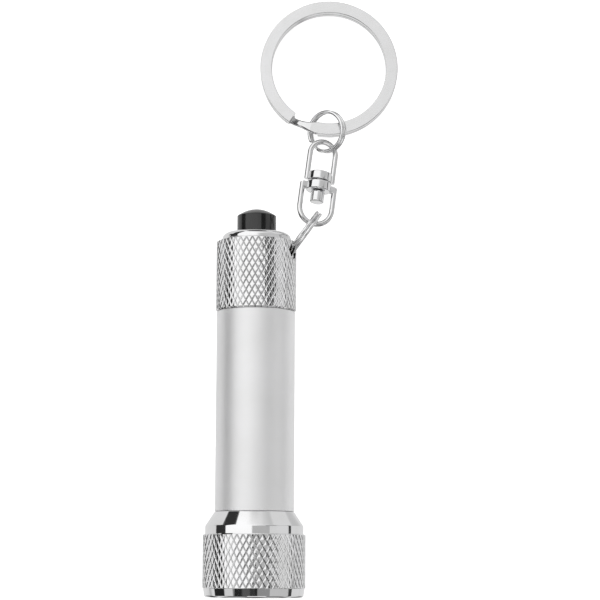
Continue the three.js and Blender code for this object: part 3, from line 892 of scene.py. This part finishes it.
def battery_sleeve():
    turned_piece("white_battery_sleeve", "battery_sleeve", ring_outline(**SLEEVE))


def o_ring(node):
    radius, station = O_RINGS[node]
    half = O_RING_SECTION / 2
    outline = [(radius + half * math.cos(a), station + half * math.sin(a)) for a in even_angles(14)]
    turned_piece(f"rubber_{node}", node, outline)


def spring(node):
    shape = SPRINGS[node]
    path = spring_path(shape)
    bm = bmesh.new()
    swept(bm, path, wire_sections(shape["wire"], len(path), 10))
    return finish_piece(bm, f"steel_{node}", node, TORCH_PLACE)


def button_spring():
    """The button spring, given a mesh of its own."""
    piece = spring("button_spring")
    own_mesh(piece)


def switch_parts():
    s = SWITCH
    body = [(0, s["start"]), *softened([
        (s["body"], s["start"]), (s["body"], s["body_end"]), (s["flange"], s["body_end"]),
        (s["flange"], s["flange_end"]), (s["nose"], s["flange_end"]), (s["nose"], s["nose_end"]),
        (s["bore"], s["nose_end"]), (s["bore"], s["bore_start"]),
    ], cut=0.15, closed=False), (0, s["bore_start"])]
    turned_piece("black_switch_body", "switch_body", body, closed=False)
    plate = disc_outline(**CONTACT_PLATE, cut=0.08)
    turned_piece("brass_contact_plate", "switch_contact_plate", plate, closed=False)
    nut = ring_outline(**RETAINER, cut=0.15)
    turned_piece("brass_retaining_ring", "switch_retaining_ring", nut)
    plunger = disc_outline(**PLUNGER, cut=0.25)
    turned_piece("white_switch_plunger", "switch_plunger", plunger, 48, closed=False)


# ------------------------------------------------------------------ links
def wire_ring(node, ring, place, steps=260):
    radius = (ring["diameter"] - ring["wire"]) / 2
    path = split_ring_path(ring, split_ring_angles(ring, steps), radius)
    bm = bmesh.new()
    swept(bm, path, wire_sections(ring["wire"], len(path), 20))
    finish_piece(bm, f"chrome_{node}", node, place)


def key_ring():
    """A flat split ring. Where it climbs from one turn to the other, it is narrower and rounder."""
    ring = KEY_RING
    angles = split_ring_angles(ring, 360)
    path, sections, narrowed = [], [], []
    for angle, (centre, side, up) in zip(angles, split_ring_path(ring, angles, ring["diameter"] / 2)):
        narrow = smoothstep(angle - 360, *ring["narrowing"])
        narrow *= 1 - smoothstep(angle - 360, *ring["widening"])
        width = ring["width"] + (ring["bend_width"] - ring["width"]) * narrow
        inset = ring["bend_inset"] * narrow
        path.append((centre - side * (width / 2 + inset), side, up))
        corner = ring["corner"] + ring["bend_corner"] * narrow
        sections.append(rounded_rectangle(width, ring["thickness"], corner, steps=5))
        narrowed.append(narrow)
    bm = bmesh.new()
    rings = swept(bm, path, sections)
    ground = set()
    for corners, narrow in zip(rings, narrowed):
        if narrow < 0.5:
            ground.update(corners)
    bm.normal_update()
    for face in bm.faces:
        if abs(face.normal.z) > GROUND_LIMIT and ground.issuperset(face.verts):
            face.material_index = 1
    materials = [KEY_RING_WALL, FINISH["key_ring_nickel"]]
    finish_piece(bm, "flat_key_ring", "key_ring", KEY_RING_PLACE, materials=materials)


def loop_path(half_width, leg_start, leg_end, side, steps=48):
    """Two straight legs joined by a half circle, in the XY plane."""
    up, forward, right = Vector((0, 0, 1)), Vector((0, side, 0)), Vector((1, 0, 0))
    stations = [leg_start + station for station in WIRE_TIP_STATIONS]
    path = [(forward * station - right * half_width, -right, up) for station in stations]
    for step in range(steps + 1):
        turn = math.pi * (1 - step / steps)
        out = right * math.cos(turn) + forward * math.sin(turn)
        path.append((forward * leg_end + out * half_width, out, up))
    path += [(forward * station + right * half_width, right, up) for station in reversed(stations)]
    return path


def swivel_loop(node, width, length, leg_start, side, drum_radius, hole, web=False):
    """A bent wire joined to the drum that the pin runs through."""
    s = SWIVEL_SIZE
    path = loop_path((width - s["wire"]) / 2, leg_start, length - width / 2, side)
    bm = bmesh.new()
    swept(bm, path, wire_sections(s["wire"], len(path), 20))
    near, far = side * s["gap"] / 2, side * (s["gap"] / 2 + s["drum_length"])
    outline = [(0, near), (drum_radius, near), (drum_radius, far), (0, far)]
    drum = softened(outline, s["drum_round"], steps=5, closed=False)
    joined = [solid_of_turning(drum[1:-1], SWIVEL_PLACE, 72)]
    if web:
        web_bm = bmesh.new()
        section = rounded_rectangle(s["web_length"], s["web_thickness"], s["web_round"])
        middle = far - side * s["web_length"] / 2
        legs = [Vector((x * (width - s["wire"]) / 2, middle, 0)) for x in (-1, 1)]
        swept(web_bm, [(leg, Vector((0, 1, 0)), Vector((0, 0, 1))) for leg in legs], [section] * 2)
        joined.append(new_object(web_bm, "tool", SWIVEL_PLACE))
    margin = side * CUT_MARGIN
    bore = solid_of_turning([(hole, near - margin), (hole, far + margin)], SWIVEL_PLACE)
    finish_piece(bm, f"chrome_{node}", node, SWIVEL_PLACE, joined=joined, cut=[bore])


def swivel_loops():
    s = SWIVEL_SIZE
    swivel_loop(
        "swivel_lower_loop", s["lower_width"], s["lower_length"], s["lower_leg_start"], -1,
        s["lower_drum"], s["pin_hole"], web=True,
    )
    swivel_loop(
        "swivel_upper_loop", s["upper_width"], s["upper_length"], s["gap"] / 2, 1,
        s["upper_drum"], s["press_hole"],
    )


def swivel_pin():
    s = SWIVEL_SIZE
    head_end = -s["gap"] - s["drum_length"]
    outline = [
        (0, head_end - s["rivet_length"]),
        *softened([
            (s["rivet_face"], head_end - s["rivet_length"]), (s["rivet"], head_end - s["rivet_length"]),
            (s["rivet"], head_end), (s["pin"], head_end), (s["pin"], s["drum_length"]),
        ], cut=0.3, steps=5, closed=False),
        (0, s["drum_length"]),
    ]
    bm = bmesh.new()
    turned(bm, outline, 64, closed=False)
    finish_piece(bm, "chrome_swivel_pin", "swivel_pin", SWIVEL_PLACE)


head_shell()
tube()
tail_cap()
push_button()
lens()
lens_seal()
reflector()
led_board()
resistor()
for led_number in range(LED["count"]):
    led_lamp(led_number)
for cell_number in range(CELL["count"]):
    cell(cell_number)
battery_sleeve()
for seal in O_RINGS:
    o_ring(seal)
for contact in ("front_contact_spring", "rear_contact_spring"):
    spring(contact)
button_spring()
switch_parts()
wire_ring("lower_split_ring", LOWER_RING, LOWER_RING_PLACE)
wire_ring("upper_split_ring", UPPER_RING, UPPER_RING_PLACE)
key_ring()
swivel_loops()
swivel_pin()


# ------------------------------------------------------------------ stage, light and camera
FLOOR_RADIUS = 2000
FLOOR_GLOW = 0.75


def floor():
    """A pale disc that glows a little, so that it stays as light as its surroundings."""
    bm = bmesh.new()
    radius = FLOOR_RADIUS * MM
    corners = [(radius * math.cos(a), radius * math.sin(a), 0) for a in even_angles(64)]
    bm.faces.new([bm.verts.new(corner) for corner in corners])
    mesh = bpy.data.meshes.new("floor")
    bm.to_mesh(mesh)
    bm.free()
    plane = bpy.data.objects.new("floor", mesh)
    bpy.context.scene.collection.objects.link(plane)
    finish = Finish("pale_floor")
    finish.colour(finish.noise(40, 3), grey(0.80), grey(0.82))
    finish.set(Roughness=0.9, Specular_IOR_Level=0.0)
    finish.shader.inputs["Emission Color"].default_value = grey(1.0)
    finish.shader.inputs["Emission Strength"].default_value = FLOOR_GLOW
    mesh.materials.append(finish.material)
    plane.visible_glossy = False


# Panels of the light tent, seen from the object, each over the ones before it:
# (from, to) degrees round the torch's long axis, counted from straight up towards +X;
# (from, to) degrees of lean towards +Y; the softness of those two pairs of edges; and brightness.
TENT_WHITE = 1.16
PANELS = (
    ((38, 181), (-95, 30), (3, 8), 0.77),
    ((28, 240), (30, 95), (96, 8), 0.62),
    ((74, 181), (30, 95), (10, 8), 0.78),
    ((-181, -100), (-95, 95), (3, 3), 0.80),
    ((-69, -44), (-60, -8), (3, 4), 0.72),
    ((38, 88), (-20, -8), (2, 4), 0.60),
    ((-3, 38), (-9, 6), (2, 3), 0.52),
    ((-47, 13), (-20, -12), (8, 2), 0.02),
    ((-25, -6), (-17.5, -14), (4, 1.5), 0.10),
    ((8.5, 38), (-20, -9), (2, 3), 0.30),
    ((8, 150), (13, 36), (24, 4), 0.60),
    ((28, 56), (5, 19), (4, 4), 0.08),
    ((-8, 5), (-20, 0.4), (2, 0.8), 0.04),
    ((-75, -15), (-95, -20), (4, 3), 0.08),
    ((33, 82), (-95, -20), (5, 3), 0.2),
    ((-150, -112), (-42, -11), (6, 5), 0.06),
    ((130, 165), (-42, -11), (6, 5), 0.3),
    ((-181, 181), (-95, -50), (3, 12), 0.08),
    ((-181, 181), (-79, -58), (3, 8), 0.45),
    ((-181, 181), (72, 95), (3, 8), 0.10),
    ((88, 98), (-40, 20), (2, 8), 0.05),
    ((-112, -76), (19, 33), (3, 4), 0.04),
    ((-106, -72), (44, 66), (2.5, 6), 0.035),
    ((-100, -69), (-9, 50), (2.5, 4), 0.035),
    ((-100, -69), (-25, -9), (2.5, 4), 0.02),
)


def light_tent():
    world = bpy.data.worlds.new("light_tent")
    bpy.context.scene.world = world
    world.use_nodes = True
    nodes, links = world.node_tree.nodes, world.node_tree.links
    nodes.clear()

    def maths(operation, *values):
        node = nodes.new("ShaderNodeMath")
        node.operation = operation
        for socket, value in zip(node.inputs, values):
            if isinstance(value, (int, float)):
                socket.default_value = value
            else:
                links.new(value, socket)
        return node.outputs[0]

    def window(value, low, high, soft):
        """One inside low..high and nothing outside, with soft edges."""
        edges = []
        for edge, sign in ((low, 1), (high, -1)):
            node = nodes.new("ShaderNodeMapRange")
            node.interpolation_type = "SMOOTHSTEP"
            links.new(value, node.inputs["Value"])
            node.inputs["From Min"].default_value = math.radians(edge - sign * soft / 2)
            node.inputs["From Max"].default_value = math.radians(edge + sign * soft / 2)
            edges.append(node.outputs["Result"])
        return maths("MULTIPLY", *edges)

    direction = nodes.new("ShaderNodeSeparateXYZ")
    links.new(nodes.new("ShaderNodeTexCoord").outputs["Generated"], direction.inputs[0])
    x, y, z = direction.outputs
    round_axis = maths("ARCTAN2", x, z)
    lean = maths("ARCSINE", y)
    tent = TENT_WHITE
    for around, along, soft, brightness in PANELS:
        sides = window(round_axis, *around, soft[0]), window(lean, *along, soft[1])
        inside = maths("MULTIPLY", *sides)
        node = nodes.new("ShaderNodeMix")
        links.new(inside, node.inputs["Factor"])
        if isinstance(tent, float):
            node.inputs["A"].default_value = tent
        else:
            links.new(tent, node.inputs["A"])
        node.inputs["B"].default_value = brightness
        tent = node.outputs["Result"]
    rays = nodes.new("ShaderNodeLightPath")
    seen = nodes.new("ShaderNodeMix")
    links.new(rays.outputs["Is Camera Ray"], seen.inputs["Factor"])
    links.new(tent, seen.inputs["A"])
    seen.inputs["B"].default_value = 1.0
    background = nodes.new("ShaderNodeBackground")
    links.new(seen.outputs["Result"], background.inputs["Color"])
    background.inputs["Strength"].default_value = 1.0
    links.new(background.outputs[0], nodes.new("ShaderNodeOutputWorld").inputs["Surface"])


# Where the camera stands and looks, in the torch's frame: sideways, station, and height over the axis.
CAMERA_AT = (7.93, 4.9, 350)
CAMERA_AIM = (7.93, 53.2, 0)
CAMERA_ROLL = 0.29
CAMERA_LENS = 117.3


def camera():
    data = bpy.data.cameras.new("camera")
    data.lens = CAMERA_LENS
    data.sensor_width = 36
    data.clip_start = 0.01
    eye = bpy.data.objects.new("camera", data)
    bpy.context.scene.collection.objects.link(eye)
    at, aim = (TORCH_PLACE @ (Vector(point) * MM) for point in (CAMERA_AT, CAMERA_AIM))
    back = (at - aim).normalized()
    right = Vector((1, 0, 0))
    up = back.cross(right).normalized()
    roll = math.radians(CAMERA_ROLL)
    rolled_right = right * math.cos(roll) + up * math.sin(roll)
    rolled_up = up * math.cos(roll) - right * math.sin(roll)
    turn = Matrix((rolled_right, rolled_up, back)).transposed().to_4x4()
    eye.matrix_world = Matrix.Translation(at) @ turn
    bpy.context.scene.camera = eye


floor()
light_tent()
camera()
bpy.context.scene.view_settings.view_transform = "Standard"
